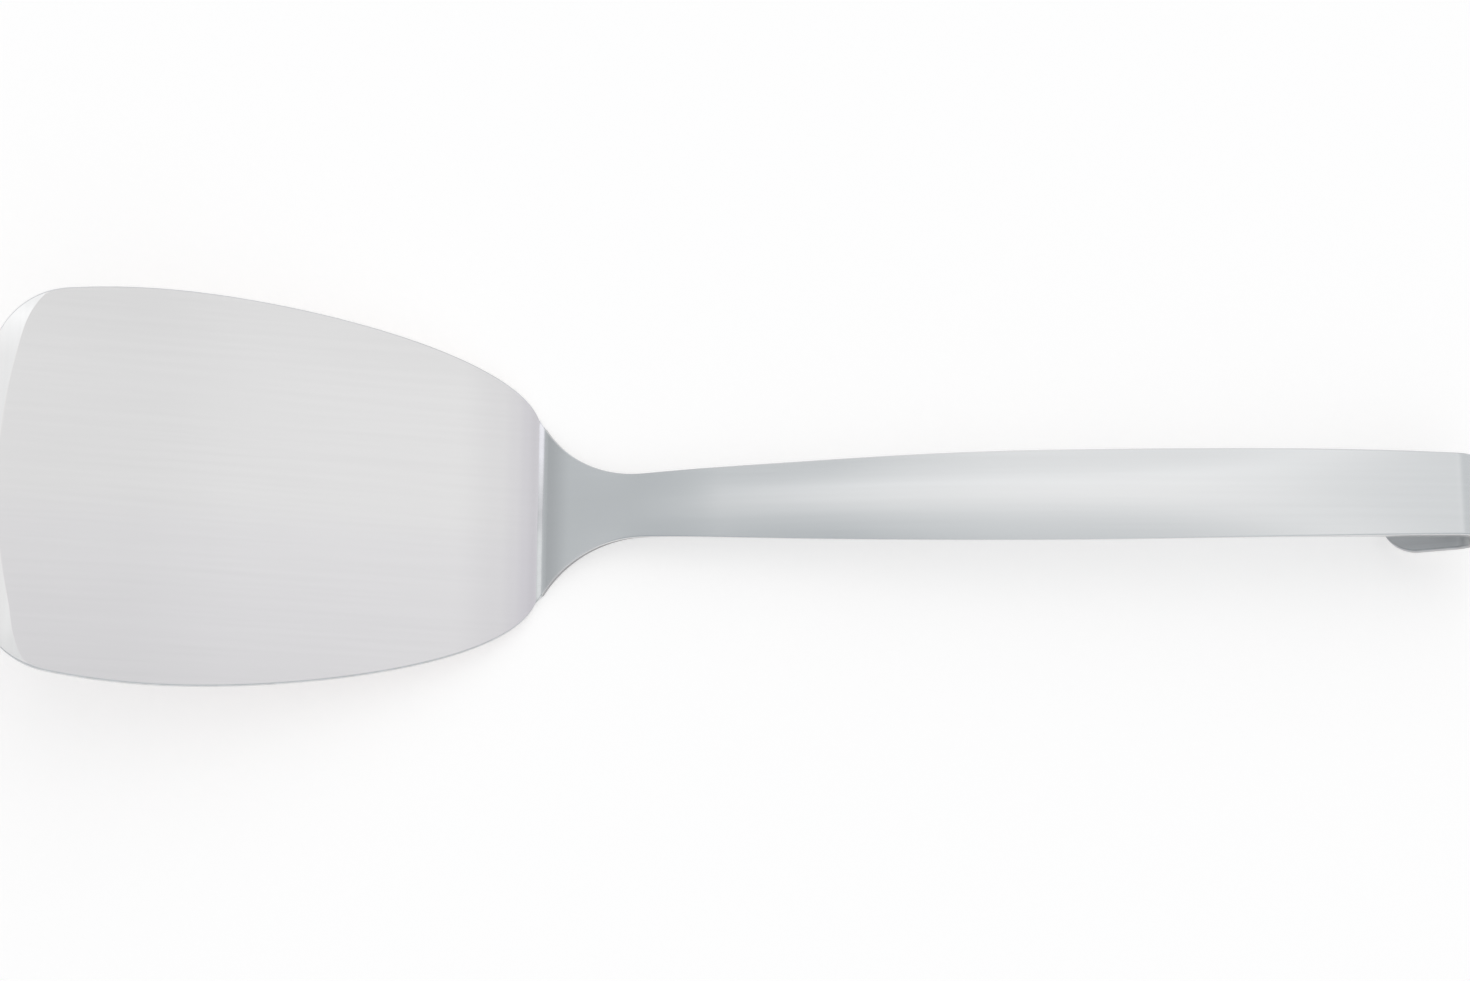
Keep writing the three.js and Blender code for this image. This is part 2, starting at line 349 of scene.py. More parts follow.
SHOULDER_POINTS = 72
SIDE_POINTS = 26
CORNER_POINTS = 16
FRONT_POINTS = 28
ROUND_POINTS = 7
EASE_OFF = 0.012  # length at the weld in which the rubbed edge turns square to the weld
BLADE_FACE, BLADE_GROUND, BLADE_CUT = range(3)
# Rows across the bevel as shares of its width, close together at its two ends so that these stay crisp
BEVEL_ROWS = np.array([-0.03, 0.0, 0.03, 0.25, 0.5, 0.75, 0.97, 1.0])
# Places along the last bit of the side, close together where the bevel starts
CORNER_START = np.concatenate([np.linspace(0.0, 0.9, 5), [0.99, 1.0]])


def foot_half_width(handle):
    """Half the waist, and what the flare's arc adds up to the weld: radius * (1 - cos(join angle))."""
    return handle.neck_width / 2 + handle.flare_radius * (1 - math.cos(handle.join_angle))


def root_half_width(weld, handle):
    """The outline runs straight across the weld at the join angle, over the weld's upper length, which
    is radius * bend angle."""
    run = weld.inner_radius * weld.bend_angle
    return foot_half_width(handle) + run * math.tan(handle.join_angle)


class BladeOutline:
    """Plan of the blade's left half, from the weld to the middle of the front: a cubic curve to the
    widest place, an arc along the side, a corner arc and the bowed front. The side ends where the
    bevel starts on the corner. From there on, depth is the bevel's width along the normal, which grows
    round the corner as the cosine of the turn that is left and stays even along the front. From left
    to right it is skewed by the factor 1 - skew * y."""

    def __init__(self, blade, weld, handle):
        half = blade.width / 2
        root = root_half_width(weld, handle)
        widest = blade.length - blade.widest_from_front
        front_centre = np.array([blade.front_radius - blade.length, 0.0])
        side_centre = np.array([-widest, half - blade.side_radius])

        # The corner's centre lies its own radius inside both the front arc and the side arc
        to_front = blade.front_radius - blade.corner_radius
        to_side = blade.side_radius - blade.corner_radius
        apart = side_centre - front_centre
        gap = np.linalg.norm(apart)
        on_line = (to_front**2 - to_side**2 + gap**2) / (2 * gap)
        off_line = math.sqrt(to_front**2 - on_line**2)
        heading = apart / gap
        corner = front_centre + heading * on_line + np.array([heading[1], -heading[0]]) * off_line
        side_turn = math.atan2(*(corner - side_centre)[::-1])
        front_turn = math.atan2(*(corner - front_centre)[::-1])
        start_turn = front_turn - blade.grind_turn

        leaving = np.array([-math.cos(blade.shoulder_angle), math.sin(blade.shoulder_angle)])
        corners = [
            (0.0, root),
            blade.shoulder_reach * leaving + (0.0, root),
            (blade.side_reach - widest, half),
            (-widest, half),
        ]
        self.side = joined_runs(
            bezier(corners, np.linspace(0.0, 1.0, SHOULDER_POINTS)),
            arc(side_centre, blade.side_radius, np.linspace(math.pi / 2, side_turn, SIDE_POINTS)),
            arc(corner, blade.corner_radius, between(side_turn, start_turn, CORNER_START)),
        )
        square = smoothstep(-self.side[0][:, :1], 0.0, EASE_OFF)
        self.side[1] = between(np.array([0.0, 1.0]), self.side[1], square)

        turns = np.linspace(start_turn, front_turn, CORNER_POINTS)
        self.front = joined_runs(
            arc(corner, blade.corner_radius, turns),
            arc(front_centre, blade.front_radius, np.linspace(front_turn, math.pi, FRONT_POINTS)),
        )
        growing = np.cos((front_turn - turns) / blade.grind_turn * math.pi / 2)
        self.depth = blade.grind_width * np.concatenate([growing, np.ones(FRONT_POINTS - 1)])
        self.skew = blade.grind_skew / half

    def all_round(self):
        """Points, normals and bevel widths from the weld round the front and back to the weld."""
        mirror = np.array([1.0, -1.0])
        halves = [np.concatenate([side, front[1:]]) for side, front in zip(self.side, self.front)]
        depth = np.concatenate([np.zeros(len(self.side[0])), self.depth[1:]])
        points, normals = [np.concatenate([half, half[-2::-1] * mirror]) for half in halves]
        depth = np.concatenate([depth, depth[-2::-1]])
        return points, normals, depth * (1 - self.skew * points[:, 1])


def blade_shell(blade, weld, handle):
    """The rim is a profile carried round the outline: bevel, rubbed edge, cut wall, rubbed edge. A flat
    patch fills it above and below, and a flat strip closes it at the weld. Along the normal the top
    falls evenly from the bevel's inner line to the edge: thickness - slope * (depth - inset). The flat
    patches start a margin of two rubbed rounds inside the outline, or at the bevel's inner line."""
    outline = BladeOutline(blade, weld, handle)
    points, normals, depth = outline.all_round()
    slope = (blade.thickness - blade.edge_thickness) / blade.grind_width

    def height(inset):
        return blade.thickness - slope * np.maximum(depth - inset, 0.0)

    rub = blade.edge_round * height(0.0) / blade.thickness
    margin = 2 * rub
    inner = np.maximum(depth, margin)
    turn = np.linspace(0.0, math.pi / 2, ROUND_POINTS)[:, None]
    aside = rub * (1 - np.sin(turn))
    down = rub * (1 - np.cos(turn))
    top = between(inner, rub, BEVEL_ROWS[:, None])
    inset = np.concatenate([top, aside[1:], aside[::-1], [margin]])
    rise = np.concatenate([height(top), height(rub) - down[1:], down[::-1], [np.zeros_like(rub)]])
    plan = points - inset[..., None] * normals
    rim = np.concatenate([plan, rise[..., None] - HEEL_RADIUS], axis=-1)

    finish = np.full((len(inset) - 1, len(points) - 1), BLADE_CUT)
    bevelled = np.minimum(depth[1:], depth[:-1]) > 0
    finish[:len(BEVEL_ROWS) - 1] = np.where(bevelled, BLADE_GROUND, BLADE_FACE)
    finish[0] = BLADE_FACE
    finish[-1] = BLADE_FACE

    def face(ring):
        """Flat patch inside a ring: between its two sides, its front and a straight line at the weld."""
        sides = len(outline.side[0])
        left = ring[:sides]
        right = ring[:-sides - 1:-1]
        far = ring[sides - 1:len(ring) - sides + 1]
        near = between(left[0], right[0], travelled(far)[:, None])
        return patch(near, far, left, right)

    upper = face(rim[0])
    lower = face(rim[-1])
    back = np.stack([upper[0], lower[0]])
    shell = Shell()
    shell.grid(rim, rim[..., :2], finish)
    shell.grid(upper, upper[..., :2], BLADE_FACE)
    shell.grid(lower, lower[..., :2], BLADE_FACE)
    shell.grid(back, back[..., :2], BLADE_CUT)
    for end in (rim[:, 0], rim[:, -1]):
        shell.cap(end, end[:, :2], BLADE_CUT)
    return shell


# Strap: weld and handle are one kind of surface

ACROSS_POINTS = 33
STRAP_TOP, STRAP_CUT, STRAP_UNDER = range(3)
LEAST_ROUND = 0.2  # share of the rubbed round that is left where the section is drawn in


def strap_section():
    """Rounded rectangle as shares, once round from the upper left. A point lies a half-widths and b
    rubbed radii across, and c thicknesses and d rubbed radii down. The last row tells its finish, which
    on the upper rounds is that of the upper face."""
    flat = np.sin(np.linspace(math.pi / 2, -math.pi / 2, ACROSS_POINTS))
    turn = np.linspace(0.0, math.pi / 2, ROUND_POINTS)[1:]
    back = np.linspace(math.pi / 2, 0.0, ROUND_POINTS)[:-1]

    def run(a, b, c, d, finish):
        """Points in a row, from rows of shares or from one share for all."""
        length = max(np.size(a), np.size(b))
        return np.stack([np.broadcast_to(value, length) for value in (a, b, c, d, finish)])

    return np.concatenate([
        run(flat, -flat, 0.0, 0.0, STRAP_TOP),
        run(-1.0, 1 - np.sin(turn), 0.0, 1 - np.cos(turn), STRAP_TOP),
        run(-1.0, 1 - np.sin(back), 1.0, np.cos(back) - 1, STRAP_CUT),
        run(-flat, flat, 1.0, 0.0, STRAP_UNDER),
        run(1.0, np.sin(turn) - 1, 1.0, np.cos(turn) - 1, STRAP_CUT),
        run(1.0, np.sin(back) - 1, 0.0, 1 - np.cos(back), STRAP_TOP),
    ], axis=1)


def strap_shell(place, heading, distance, half, thickness, crown, rub, shrink):
    """Carries the rounded section along the strap's top line. Across, its top follows the parabola
    -crown * (y / half)^2, and its wall stands square to that; shrink draws the section in at an end."""
    a, b, c, d, finish = strap_section()
    half, thickness, crown, rub, shrink = [
        np.broadcast_to(value, distance.shape)[:, None] for value in (half, thickness, crown, rub, shrink)
    ]
    rub = np.maximum(rub - shrink, LEAST_ROUND * rub)
    across = a * (half - shrink) + b * rub
    down = shrink + c * (thickness - 2 * shrink) + d * rub
    lean = np.arctan(2 * crown * across / half**2)
    rise = -crown * (across / half)**2 - down * np.cos(lean)
    turn = heading[:, None]
    rings = np.stack([
        place[:, :1] - rise * np.sin(turn),
        across - down * np.sin(lean),
        place[:, 1:] + rise * np.cos(turn),
    ], axis=-1)
    marks = np.stack([np.broadcast_to(distance[:, None], across.shape), across + down], axis=-1)

    # The faces between two finishes belong to the cut edge
    faces = np.where(finish == np.roll(finish, -1), finish, STRAP_CUT).astype(int)
    shell = Shell()
    shell.grid(rings, marks, faces, closed=True)
    for end in (0, -1):
        shell.cap(rings[end], marks[end], STRAP_CUT)
    return shell


WELD_STEPS = 20


def weld_shell(blade, weld, handle):
    """Sector of the bend. Its upper side is ground flat along the chord of the inner radius, which lies
    radius * cos(bend / 2) / cos(turn - bend / 2) from the axis; its lower side is the heel's arc. The
    width runs straight from the blade's root to the handle's foot."""
    part = even_parts(WELD_STEPS)
    turn = part * weld.bend_angle
    middle = weld.bend_angle / 2
    inner = weld.inner_radius * math.cos(middle) / np.cos(turn - middle)
    place = inner[:, None] * np.stack([np.sin(turn), -np.cos(turn)], axis=1)
    wall = weld.inner_radius + blade.thickness - inner
    half = between(root_half_width(weld, handle), foot_half_width(handle), part)
    return strap_shell(
        place, turn, weld.inner_radius * turn, half, wall, crown=0.0, rub=blade.edge_round, shrink=0.0,
    )


NECK_STEPS = 34
KNEE_STEPS = 14
GRIP_STEPS = 96
HOOK_STEPS = 56
TONGUE_STEPS = 8
TIP_STEPS = 20


class Strap:
    """The handle's top line and how its section changes along it. Flare is the length of the flared
    foot, and corner the round of the free end's corners."""

    def __init__(self, blade, weld, handle):
        self.blade = blade
        self.weld = weld
        self.handle = handle
        self.flare = handle.flare_radius * math.sin(handle.join_angle)
        self.corner = min(handle.tongue_corner, (handle.hook_width - handle.thickness) / 2)
        knee_length = handle.knee_radius * handle.knee_angle
        hook_length = (handle.hook_inner_radius + handle.thickness) * handle.hook_angle
        self.hook_start = handle.neck_length + knee_length + handle.grip_length
        self.end = self.hook_start + hook_length + handle.tongue_length
        # Length, turn and places of each run
        self.runs = [
            (handle.neck_length, 0.0, even_parts(NECK_STEPS)),
            (knee_length, handle.knee_angle, even_parts(KNEE_STEPS)),
            (handle.grip_length, handle.grip_angle, even_parts(GRIP_STEPS)),
            (hook_length, handle.hook_angle, even_parts(HOOK_STEPS)),
            (handle.tongue_length - self.corner, 0.0, even_parts(TONGUE_STEPS)),
            (self.corner, 0.0, self.tip_parts()),
        ]

    def tip_parts(self):
        """Places along the rounded end: ever closer to the rubbed edge, then round it."""
        rub = self.handle.edge_round / self.corner
        towards = (1 - rub) * np.sin(np.linspace(0.0, math.pi / 2, TIP_STEPS + 1))
        over = 1 - rub + rub * np.sin(np.linspace(0.0, math.pi / 2, ROUND_POINTS))[1:]
        return np.concatenate([towards, over])

    def line(self):
        """Places, headings and distances along the runs. A chord of an arc is its length times
        sin(x) / x of half its turn, and runs half way between the headings at its two ends."""
        heading = self.weld.bend_angle
        place = self.weld.inner_radius * np.array([math.sin(heading), -math.cos(heading)])
        distance = 0.0
        places, headings, distances = [place[None]], [[heading]], [[distance]]
        for length, turn, parts in self.runs:
            parts = parts[1:]
            half = parts * turn / 2
            chord = parts * length * np.sinc(half / math.pi)
            course = np.stack([np.cos(heading - half), np.sin(heading - half)], axis=1)
            places.append(place + chord[:, None] * course)
            headings.append(heading - 2 * half)
            distances.append(distance + parts * length)
            place = places[-1][-1]
            heading -= turn
            distance += length
        return [np.concatenate(values) for values in (places, headings, distances)]

    def half_width(self, distance):
        """An arc from the weld to the waist, a sine swell to the grip, a quadratic taper to the hook and
        a rounded end."""
        handle = self.handle
        neck = handle.neck_width / 2
        grip = handle.grip_width / 2
        before = np.maximum(self.flare - distance, 0.0)
        flared = neck + handle.flare_radius - np.sqrt(handle.flare_radius**2 - before**2)
        part = np.clip((distance - self.flare) / (handle.widest_at - self.flare), 0.0, 1.0)
        eased = part**2 * (1 + handle.waist_ease) / (part + handle.waist_ease)
        swollen = between(neck, grip, np.sin(eased * math.pi / 2))
        part = np.clip((distance - handle.widest_at) / (self.hook_start - handle.widest_at), 0.0, 1.0)
        tapered = between(grip, handle.hook_width / 2, part**2)
        into = np.clip(distance - (self.end - self.corner), 0.0, self.corner)
        ended = tapered - self.corner + np.sqrt(self.corner**2 - into**2)
        return np.where(distance < self.flare, flared, np.where(distance < handle.widest_at, swollen, ended))

    def crown(self, distance):
        """Grows from the weld on and fades before the hook, both as smooth steps."""
        handle = self.handle
        grown = smoothstep(distance, 0.0, handle.crown_rise)
        faded = smoothstep(distance, self.hook_start - handle.crown_fade, self.hook_start)
        return handle.crown * grown * (1 - faded)

    def shell(self):
        """The wall thickens from the blade's sheet to the strap along the flare, and so does the rubbed
        edge; at the free end a quarter circle draws the section in."""
        place, heading, distance = self.line()
        grown = smoothstep(distance, 0.0, self.flare)
        rub = self.handle.edge_round
        over = np.clip((distance - (self.end - rub)) / rub, 0.0, 1.0)
        return strap_shell(
            place, heading, distance,
            half=self.half_width(distance),
            thickness=between(self.blade.thickness, self.handle.thickness, grown),
            crown=self.crown(distance),
            rub=between(self.blade.edge_round, rub, grown),
            shrink=rub * (1 - np.sqrt(1 - over**2)),
        )


# Steel

class Finish(NamedTuple):
    """How a face was worked: its roughness and how far that is drawn out across the brushing, the grain of
    its hairlines and broader streaks along and across the brushing map, the hairlines' height, and how far
    colour and roughness stray."""
    roughness: float
    anisotropy: float
    hair: tuple
    streak: tuple
    depth: float
    spread: float


BRUSHED = Finish(0.26, 0.5, hair=(0.02, 0.0002), streak=(0.06, 0.0012), depth=2e-6, spread=0.01)
DULL = Finish(0.42, 0.4, hair=(0.05, 0.00022), streak=(0.16, 0.0011), depth=3e-6, spread=0.04)
GROUND = Finish(0.13, 0.2, hair=(0.0004, 0.02), streak=(0.0012, 0.05), depth=1e-6, spread=0.015)
POLISHED = Finish(0.24, 0.2, hair=(0.0015, 0.0003), streak=(0.004, 0.003), depth=2e-6, spread=0.05)
CUT = Finish(0.39, 0.0, hair=(0.0003, 0.0003), streak=(0.002, 0.002), depth=2e-6, spread=0.05)
CLOUD_SIZE = 0.03
# Finer octaves in the hairlines, and in streaks and clouds, and how strongly each next octave counts
HAIR_DETAIL = 3.0
BROAD_DETAIL = 2.0
OCTAVE_SHARE = 0.55
# Weights of the hairlines in the streaks, and of the clouds in the colour and in the roughness
HAIR_WEIGHT = 0.5
CLOUD_WEIGHT = 0.6
CLOUD_GLOSS = 0.5
TONE_RANGE = (0.25, 0.75)  # the part of a noise pattern that carries its contrast
QUARTER_TURN = 0.25  # as a share of a full turn; it draws the gloss out across the brushing

# Tones along an axis of the brushing map, in metres; they are painted light and shade. The blade and the
# handle are darker beside the weld, as painted shade in the corner between them. The blade is a little
# darker towards its front and its sides, so that its middle shows brighter, and the bevel is brighter
# towards its left corner as a painted highlight. The strap's cut edge is darker at the neck and round the
# hook, and its underside in the hook's bend, as painted shade. The weld has soft edges, darker as painted
# shade, and is brighter in parts along it and darker at its ends, as a painted highlight and painted shade.
WHITE = (1.0, 1.0, 1.0)
# Painted shade on the blade: darker beside the weld, where the neck rises, and a little towards the front
BLADE_PAINTED_SHADE_ALONG = ("X", (
    (-0.1213, (0.955, 0.955, 0.955)), (-0.09, (0.96, 0.96, 0.96)), (-0.06, WHITE), (-0.019, WHITE),
    (-0.0085, (0.936, 0.934, 0.942)), (-0.005, (0.894, 0.888, 0.908)), (-0.0028, (0.842, 0.832, 0.866)),
    (-0.0008, (0.788, 0.778, 0.814)), (0.0, (0.815, 0.805, 0.842)),
))
# Painted shade on the blade: darker towards its two sides, most towards -Y
BLADE_PAINTED_SHADE_ACROSS = ("Y", (
    (-0.0435, (0.915, 0.91, 0.925)), (-0.03, (0.945, 0.94, 0.955)), (-0.012, (0.97, 0.967, 0.978)),
    (0.0, WHITE), (0.02, WHITE), (0.0435, (0.965, 0.965, 0.965)),
))
# Painted highlight on the bevel: brightest towards its +Y corner, darker towards -Y
BEVEL_PAINTED_HIGHLIGHT_ACROSS = ("Y", (
    (-0.0435, (0.82, 0.82, 0.82)), (-0.037, (0.84, 0.84, 0.84)), (-0.033, (0.875, 0.875, 0.875)),
    (0.016, (0.87, 0.87, 0.87)), (0.024, (0.885, 0.885, 0.885)), (0.0345, WHITE),
    (0.0385, (0.92, 0.92, 0.92)), (0.0435, (0.92, 0.92, 0.92)),
))
# Painted shade on the handle's top beside the weld, in the corner where it meets the blade
HANDLE_PAINTED_SHADE_ALONG = ("X", (
    (0.0, (0.98, 0.98, 0.98)), (0.0004, (0.9, 0.9, 0.9)), (0.0011, (0.81, 0.81, 0.81)), (0.0066, WHITE),
))
# Painted shade on the strap's cut edge: darker at the neck, and round the hook and tongue under the handle
EDGE_PAINTED_SHADE_ALONG = ("X", (
    (0.0, (0.6, 0.6, 0.6)), (0.002, (0.52, 0.51, 0.52)), (0.022, (0.56, 0.56, 0.56)), (0.034, WHITE),
    (0.18, WHITE), (0.187, (0.5, 0.5, 0.51)), (0.2, (0.48, 0.48, 0.49)), (0.212, (0.56, 0.56, 0.57)),
    (0.22, (0.73, 0.73, 0.74)), (0.234, (0.73, 0.73, 0.74)),
))
# Painted shade on the underside inside the hook's bend
UNDER_PAINTED_SHADE_ALONG = ("X", (
    (0.0, WHITE), (0.2, WHITE), (0.208, (0.7, 0.7, 0.7)), (0.2145, (0.75, 0.75, 0.75)), (0.2175, WHITE),
    (0.234, WHITE),
))
# Painted shade at the weld's two edges, darkest on the neck's side, which narrows its highlight
WELD_PAINTED_SHADE_ALONG = ("X", (
    (0.0, (0.88, 0.88, 0.88)), (0.0003, (0.97, 0.97, 0.97)), (0.0006, WHITE), (0.0009, (0.97, 0.97, 0.97)),
    (0.00124, (0.72, 0.725, 0.73)),
))
# Painted light along the weld: darker at its ends and near its middle, brightest towards +Y as a painted
# highlight
WELD_PAINTED_LIGHT_ACROSS = ("Y", (
    (-0.0207, (0.64, 0.66, 0.66)), (-0.019, (0.8, 0.82, 0.82)), (-0.008, (0.82, 0.84, 0.84)),
    (-0.001, (0.7, 0.705, 0.72)), (0.007, (0.85, 0.85, 0.87)), (0.013, (0.965, 0.96, 1.0)),
    (0.0195, (0.965, 0.96, 1.0)), (0.0207, (0.72, 0.72, 0.75)),
))

# Numbers of a Mix node's sockets for colours: the factor and the two colours, and the result
MIX_COLOUR_INPUTS = (0, 6, 7)
MIX_COLOUR_OUTPUT = 2


def node(tree, kind, **values):
    """A node with its settings and inputs set by name."""
    made = tree.nodes.new(kind)
    for key, value in values.items():
        if key in made.inputs:
            made.inputs[key].default_value = value
        else:
            setattr(made, key, value)
    return made


def lines(tree, along, across, detail):
    """Noise drawn out along the brushing: its grain is along and across, in metres."""
    surface = node(tree, "ShaderNodeUVMap", uv_map=BRUSH_MAP)
    stretched = node(tree, "ShaderNodeMapping", Scale=(1 / along, 1 / across, 1.0))
    noise = node(
        tree, "ShaderNodeTexNoise", noise_dimensions="2D", Scale=1.0, Detail=detail, Roughness=OCTAVE_SHARE,
    )
    tree.links.new(surface.outputs["UV"], stretched.inputs["Vector"])
    tree.links.new(stretched.outputs["Vector"], noise.inputs["Vector"])
    return noise.outputs["Fac"]


def mixed(tree, first, second, weight):
    """Adds a weighted second pattern to the first, both centred on one half."""
    centred = node(tree, "ShaderNodeMath", operation="SUBTRACT")
    centred.inputs[1].default_value = 0.5
    added = node(tree, "ShaderNodeMath", operation="MULTIPLY_ADD")
    added.inputs[1].default_value = weight
    tree.links.new(second, centred.inputs[0])
    tree.links.new(centred.outputs["Value"], added.inputs[0])
    tree.links.new(first, added.inputs[2])
    return added.outputs["Value"]


def ranged(tree, value, start, end):
    """Maps a value from one range to another."""
    part = node(tree, "ShaderNodeMapRange")
    for key, number in zip(("From Min", "From Max", "To Min", "To Max"), (*start, *end)):
        part.inputs[key].default_value = number
    tree.links.new(value, part.inputs["Value"])
    return part.outputs["Result"]


def toned(tree, value, stops, curve):
    """Colours along a value, blended by the named curve. Each stop is a place and the colour there."""
    first, last = stops[0][0], stops[-1][0]
    ramp = node(tree, "ShaderNodeValToRGB")
    ramp.color_ramp.interpolation = curve
    elements = ramp.color_ramp.elements
    while len(elements) < len(stops):
        elements.new(0.5)
    for element, (place, tone) in zip(elements, stops):
        element.position = (place - first) / (last - first)
        element.color = (*tone, 1.0)
    tree.links.new(ranged(tree, value, (first, last), (0.0, 1.0)), ramp.inputs["Fac"])
    return ramp.outputs["Color"]


def multiplied(tree, first, second, weight=None):
    """Product of two colours that vary. A weight that varies too tells how far the second counts."""
    product = node(tree, "ShaderNodeMix", data_type="RGBA", blend_type="MULTIPLY")
    factor, *entries = [product.inputs[i] for i in MIX_COLOUR_INPUTS]
    factor.default_value = 1.0
    if weight is not None:
        tree.links.new(weight, factor)
    for source, entry in zip((first, second), entries):
        tree.links.new(source, entry)
    return product.outputs[MIX_COLOUR_OUTPUT]


def shaded(tree, tinted, axis, stops):
    """Multiplies a colour by the tones along one axis of the brushing map, which paint shade and highlights.
    """
    surface = node(tree, "ShaderNodeUVMap", uv_map=BRUSH_MAP)
    axes = node(tree, "ShaderNodeSeparateXYZ")
    tree.links.new(surface.outputs["UV"], axes.inputs["Vector"])
    return multiplied(tree, tinted, toned(tree, axes.outputs[axis], stops, "EASE"))


def steel(name, base, finish, *shades):
    """Bare steel with hairlines, broader streaks and faint clouds, and with tones along the brushing map
    that paint light and shade onto it.
    """
    material = bpy.data.materials.new(name)
    material.use_nodes = True
    tree = material.node_tree
    shader = tree.nodes["Principled BSDF"]
    shader.inputs["Metallic"].default_value = 1.0
    shader.inputs["Anisotropic"].default_value = finish.anisotropy
    shader.inputs["Anisotropic Rotation"].default_value = QUARTER_TURN

    hairlines = lines(tree, *finish.hair, HAIR_DETAIL)
    streaks = lines(tree, *finish.streak, BROAD_DETAIL)
    clouds = lines(tree, CLOUD_SIZE, CLOUD_SIZE, BROAD_DETAIL)
    tone = mixed(tree, mixed(tree, streaks, hairlines, HAIR_WEIGHT), clouds, CLOUD_WEIGHT)
    spread = np.array([-finish.spread, finish.spread])
    tints = np.minimum((1 + spread)[:, None] * np.array(base), 1.0)
    tinted = toned(tree, tone, list(zip(TONE_RANGE, tints)), "LINEAR")
    for axis, stops in shades:
        tinted = shaded(tree, tinted, axis, stops)
    tree.links.new(tinted, shader.inputs["Base Color"])

    gloss = ranged(tree, mixed(tree, hairlines, clouds, CLOUD_GLOSS), TONE_RANGE, finish.roughness + spread)
    tree.links.new(gloss, shader.inputs["Roughness"])

    relief = node(tree, "ShaderNodeBump", Strength=1.0, Distance=finish.depth)
    tree.links.new(hairlines, relief.inputs["Height"])
    tree.links.new(relief.outputs["Normal"], shader.inputs["Normal"])
    along = node(tree, "ShaderNodeTangent", direction_type="UV_MAP", uv_map=BRUSH_MAP)
    tree.links.new(along.outputs["Tangent"], shader.inputs["Tangent"])
    return material


def placed(shell, name, materials, cad_node):
    """The finished piece, standing for its CAD node."""
    piece = shell.piece(name, materials)
    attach(piece, "root")
    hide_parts(cad_node)
    return piece


# Operators

class SPATULA_OT_make_blade(Operator):
    """Build the blade with its ground front edge"""
    bl_idname = "spatula.make_blade"
    bl_label = "Make Blade"

    def execute(self, context):
        settings = context.scene.spatula
        colours = settings.colours
        face = steel("brushed_blade", colours.blade, BRUSHED, BLADE_PAINTED_SHADE_ALONG, BLADE_PAINTED_SHADE_ACROSS)
        ground = steel("ground_edge", colours.ground, GROUND, BEVEL_PAINTED_HIGHLIGHT_ACROSS)
        cut = steel("cut_edge_of_blade", colours.cut, CUT)
        shell = blade_shell(settings.blade, settings.weld, settings.handle)
        placed(shell, "blade_sheet", [face, ground, cut], "blade")
        return {"FINISHED"}


class SPATULA_OT_make_weld(Operator):
    """Build the ground weld between blade and handle"""
    bl_idname = "spatula.make_weld"
    bl_label = "Make Weld"

    def execute(self, context):
        settings = context.scene.spatula
        bead = steel("polished_weld", settings.colours.weld, POLISHED, WELD_PAINTED_SHADE_ALONG, WELD_PAINTED_LIGHT_ACROSS)
        shell = weld_shell(settings.blade, settings.weld, settings.handle)
        placed(shell, "weld_seam", [bead, bead, bead], "weld_bead")
        return {"FINISHED"}


class SPATULA_OT_make_handle(Operator):
    """Build the arched strap handle with its hang hook"""
    bl_idname = "spatula.make_handle"
    bl_label = "Make Handle"

    def execute(self, context):
        settings = context.scene.spatula
        colours = settings.colours
        top = steel("brushed_handle", colours.handle, BRUSHED, HANDLE_PAINTED_SHADE_ALONG)
        cut = steel("cut_edge_of_strap", colours.cut, CUT, EDGE_PAINTED_SHADE_ALONG)
        under = steel("dull_underside_with_painted_shade", colours.underside, DULL, UNDER_PAINTED_SHADE_ALONG)
        shell = Strap(settings.blade, settings.weld, settings.handle).shell()
        placed(shell, "handle_strap", [top, cut, under], "handle")
        return {"FINISHED"}


# Stage

TABLE_HALF = 3.0
TABLE_DROP = 2e-5  # keeps the table's face apart from the steel that rests on it
TABLE_ROUGHNESS = 0.9
# Brightness of the dome by the angle from straight overhead, in degrees: along +X, and along +Y
DOME_ALONG = (
    (-90, 0.445), (-36, 0.587), (-22, 0.675), (-13, 0.888), (-5, 0.967), (3, 1.0),
    (9, 0.99), (14, 0.866), (19, 0.755), (28, 0.867), (45, 0.697), (90, 0.713),
)
DOME_ACROSS = ((-90, 0.706), (-34, 0.718), (-10, 0.83), (12, 1.0), (30, 0.92), (58, 0.909), (90, 0.979))
# Straight aside, the angle along has no meaning. The share of a direction that leads aside, where that angle
# counts for nothing and where it counts in full
DOME_SIDES = (1.0, 0.94)
SHADE_TINT = (-0.1, 0.0, 0.07)  # the dome's darker parts are a little cooler
# Strip lamp: its direction from overhead towards +Y, its distance, and its length and breadth
LAMP_LEAN = math.radians(30.0)
LAMP_DISTANCE = 1.5
LAMP_SIZE = (1.0, 0.26)


